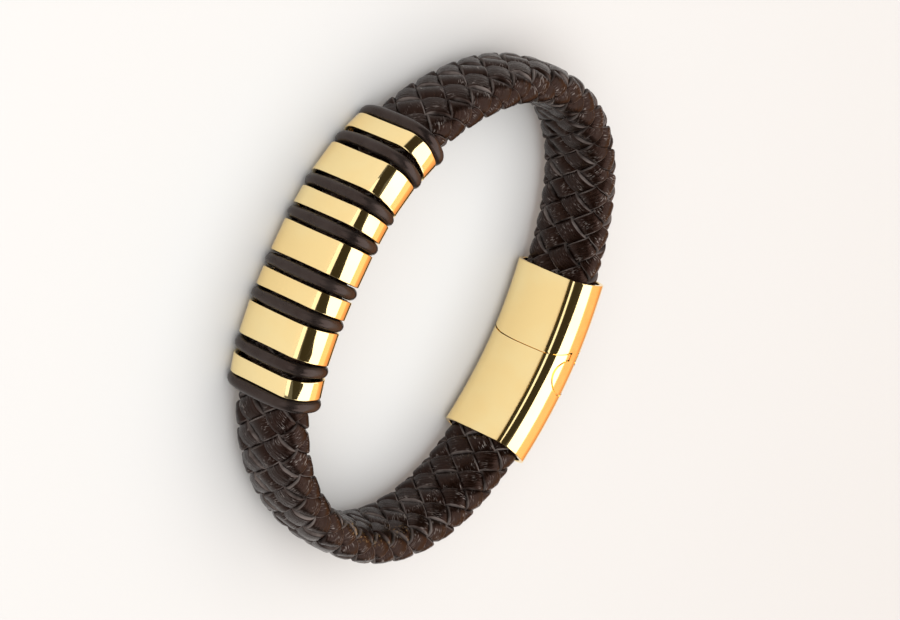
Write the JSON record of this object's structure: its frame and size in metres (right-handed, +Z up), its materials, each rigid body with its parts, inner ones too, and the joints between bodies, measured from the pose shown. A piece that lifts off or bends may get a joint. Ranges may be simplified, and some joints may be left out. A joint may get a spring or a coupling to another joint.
{
  "type": "braided leather bracelet",
  "caption": "Braided black leather bracelet worn round the wrist, with gold and rubber rings on the strap and a curved gold clasp whose halves meet at a keyhole tongue.",
  "frame": {"origin": "bottom centre of the bounding box, on the surface that the bracelet lies on", "axes": "+Z up, across the strap's width, the bracelet lying on its side; the loop runs in the XY plane with the rings on the -X side and the clasp on the +X side; +Y towards the clasp half that carries the tongue"},
  "size_m": [0.0616, 0.0758, 0.0148],
  "materials": {
    "leather": "black braided leather, satin with fine grain",
    "gold": "polished pale gold plating",
    "rubber": "satin black rubber"
  },
  "bodies": {
    "root": {"braided_strap": "leather", "gold_ring_1": "gold", "gold_ring_2": "gold", "gold_ring_3": "gold", "gold_ring_4": "gold", "gold_ring_5": "gold", "gold_ring_6": "gold", "gold_ring_7": "gold", "rubber_ring_1": "rubber", "rubber_ring_2": "rubber", "rubber_ring_3": "rubber", "rubber_ring_4": "rubber", "rubber_ring_5": "rubber", "rubber_ring_6": "rubber", "rubber_ring_7": "rubber", "rubber_ring_8": "rubber", "clasp_tongue_half": "gold", "clasp_notch_half": "gold"}
  },
  "joints": []
}
